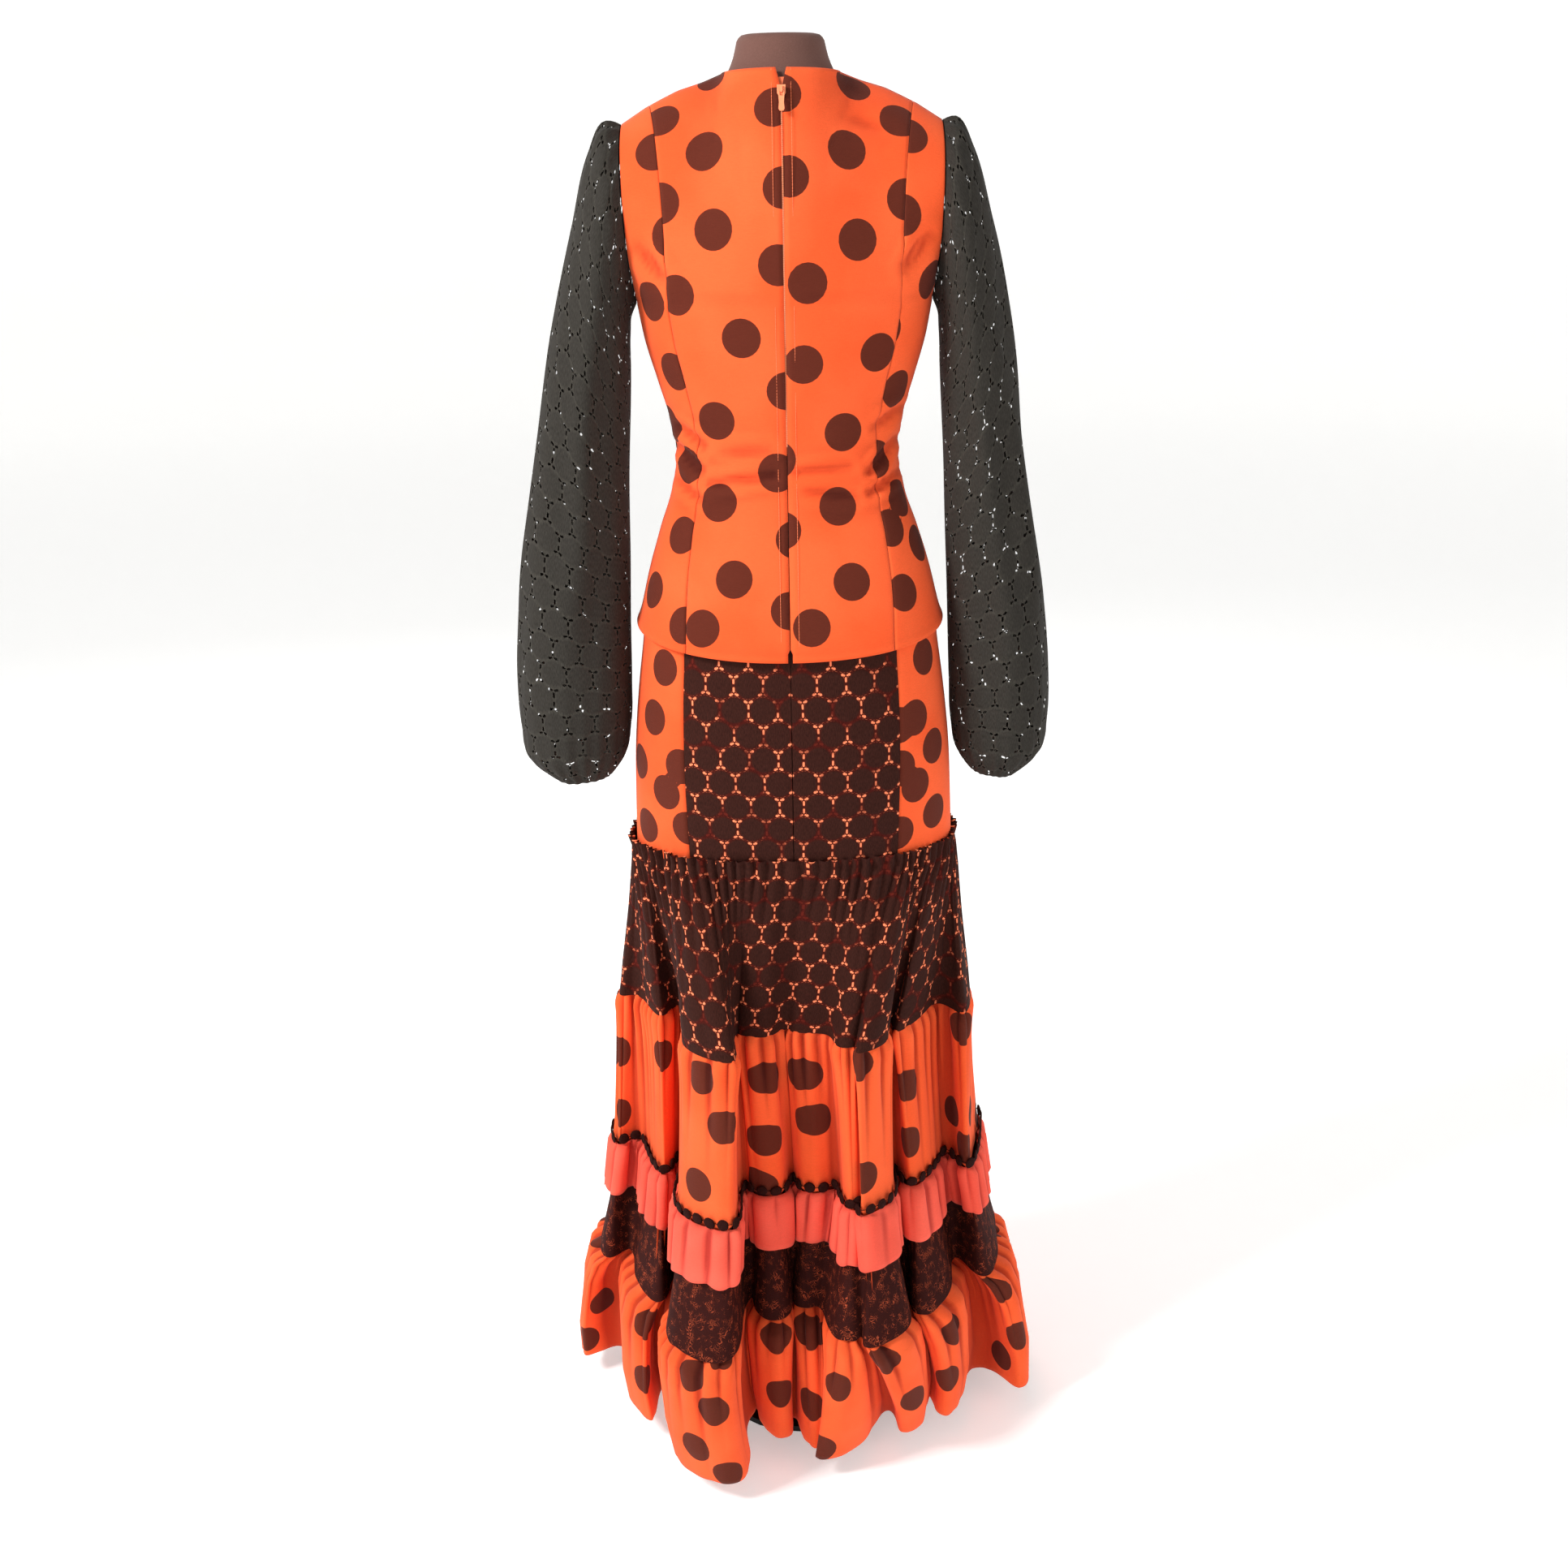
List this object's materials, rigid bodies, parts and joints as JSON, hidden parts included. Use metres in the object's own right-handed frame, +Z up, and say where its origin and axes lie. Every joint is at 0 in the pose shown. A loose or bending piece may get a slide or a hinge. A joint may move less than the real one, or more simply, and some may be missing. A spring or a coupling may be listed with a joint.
{
  "type": "flamenco dress on dress form",
  "caption": "Two-piece flamenco dress, a fitted zip-back top with gathered lace sleeves and a tiered ruffled skirt, on a limbless dress form with a pole and round foot.",
  "frame": {"origin": "centre of the foot's underside, on the floor under the pole", "axes": "+Z up, the wearer faces -Y so the back zip is at +Y, +X to the wearer's left"},
  "size_m": [0.5635, 0.4374, 1.5255],
  "materials": {
    "dotted_crepe": "matte orange crepe with dark brown dots",
    "coral_crepe": "matte coral crepe",
    "skirt_lace": "black-brown lace",
    "sleeve_lace": "sheer black lace",
    "form_jersey": "matte dark brown jersey cover",
    "black_steel": "satin black paint",
    "zip_plastic": "light orange nylon and lacquer"
  },
  "bodies": {
    "dress": {"top_back_left": "dotted_crepe", "top_back_right": "dotted_crepe", "top_back_side_left": "dotted_crepe", "top_back_side_right": "dotted_crepe", "top_front": "dotted_crepe", "top_front_side_left": "dotted_crepe", "top_front_side_right": "dotted_crepe", "sleeve_left": "sleeve_lace", "sleeve_right": "sleeve_lace", "yoke_back_left": "skirt_lace", "yoke_back_right": "skirt_lace", "yoke_front": "skirt_lace", "yoke_back_left_backing": "dotted_crepe", "yoke_back_right_backing": "dotted_crepe", "yoke_front_backing": "dotted_crepe", "yoke_side_left": "dotted_crepe", "yoke_side_right": "dotted_crepe", "tier_one_lace": "skirt_lace", "tier_one_backing": "dotted_crepe", "tier_two": "dotted_crepe", "braid": "skirt_lace", "coral_ruffle": "coral_crepe", "lace_band": "skirt_lace", "hem_ruffle": "dotted_crepe", "zip_tape": "zip_plastic", "zip_slider": "zip_plastic", "dress_form": "form_jersey", "stand_pole": "black_steel", "stand_foot": "black_steel"},
    "pull_tab": {"zip_pull_tab": "zip_plastic"}
  },
  "joints": [
    {"name": "pull_tab_hinge", "type": "hinge", "parent": "dress", "child": "pull_tab", "pos_m": [0, 0.07389, 1.47472], "axis": [1, 0, 0], "range_deg": [0, 150]}
  ]
}
